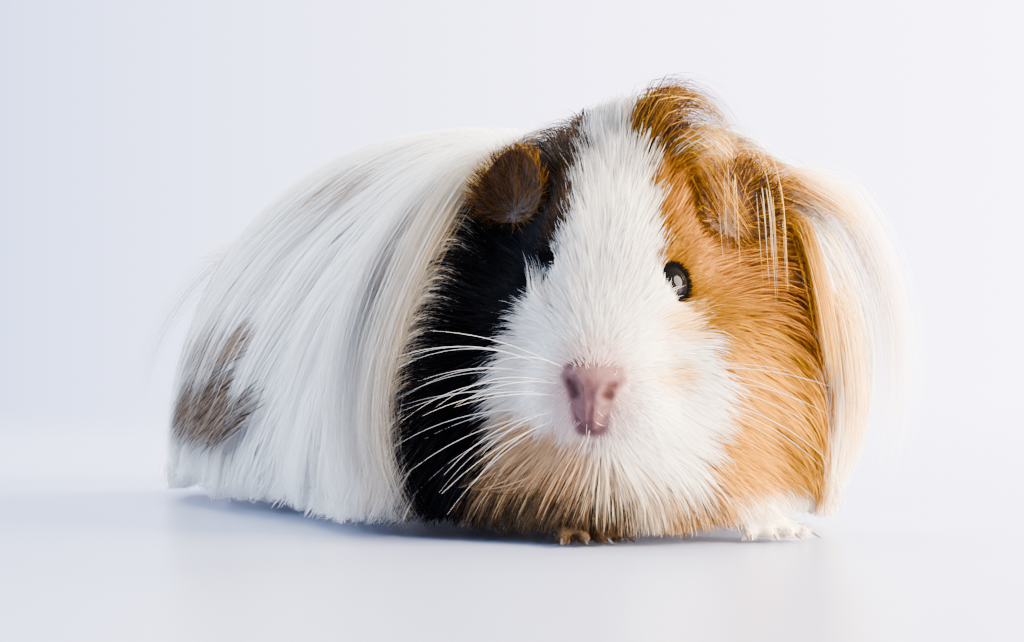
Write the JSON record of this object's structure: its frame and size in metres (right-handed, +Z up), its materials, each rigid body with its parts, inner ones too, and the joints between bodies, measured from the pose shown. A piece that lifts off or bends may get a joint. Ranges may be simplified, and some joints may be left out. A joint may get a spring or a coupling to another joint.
{
  "type": "guinea pig",
  "caption": "Life-size still model of a long-haired guinea pig crouched on the floor with its head turned to its right, in a white, black and ginger coat.",
  "frame": {"origin": "on the floor, under the middle of the whole animal", "axes": "+Z up, head towards -Y, +X towards the animal's left"},
  "size_m": [0.15, 0.2872, 0.1112],
  "materials": {
    "coat": "long soft fur: white, with black, ginger and grey-brown patches",
    "face_fur": "short soft fur: white blaze and muzzle between black and ginger cheeks",
    "nose_skin": "bare pink skin, slightly moist",
    "ear_skin": "thin dark brown skin with fine hair",
    "eye": "wet, nearly black",
    "claw": "smooth pale horn"
  },
  "bodies": {
    "root": {"head": "face_fur", "nose": "nose_skin", "neck": "coat", "trunk": "coat", "rump": "coat", "left_eye": "eye", "left_ear": "ear_skin", "right_eye": "eye", "right_ear": "ear_skin", "left_foreleg": "coat", "left_hindleg": "coat", "right_foreleg": "coat", "right_hindleg": "coat", "left_fore_claw_1": "claw", "left_fore_claw_2": "claw", "left_fore_claw_3": "claw", "left_fore_claw_4": "claw", "right_fore_claw_1": "claw", "right_fore_claw_2": "claw", "right_fore_claw_3": "claw", "right_fore_claw_4": "claw", "left_hind_claw_1": "claw", "left_hind_claw_2": "claw", "left_hind_claw_3": "claw", "right_hind_claw_1": "claw", "right_hind_claw_2": "claw", "right_hind_claw_3": "claw"}
  },
  "joints": []
}
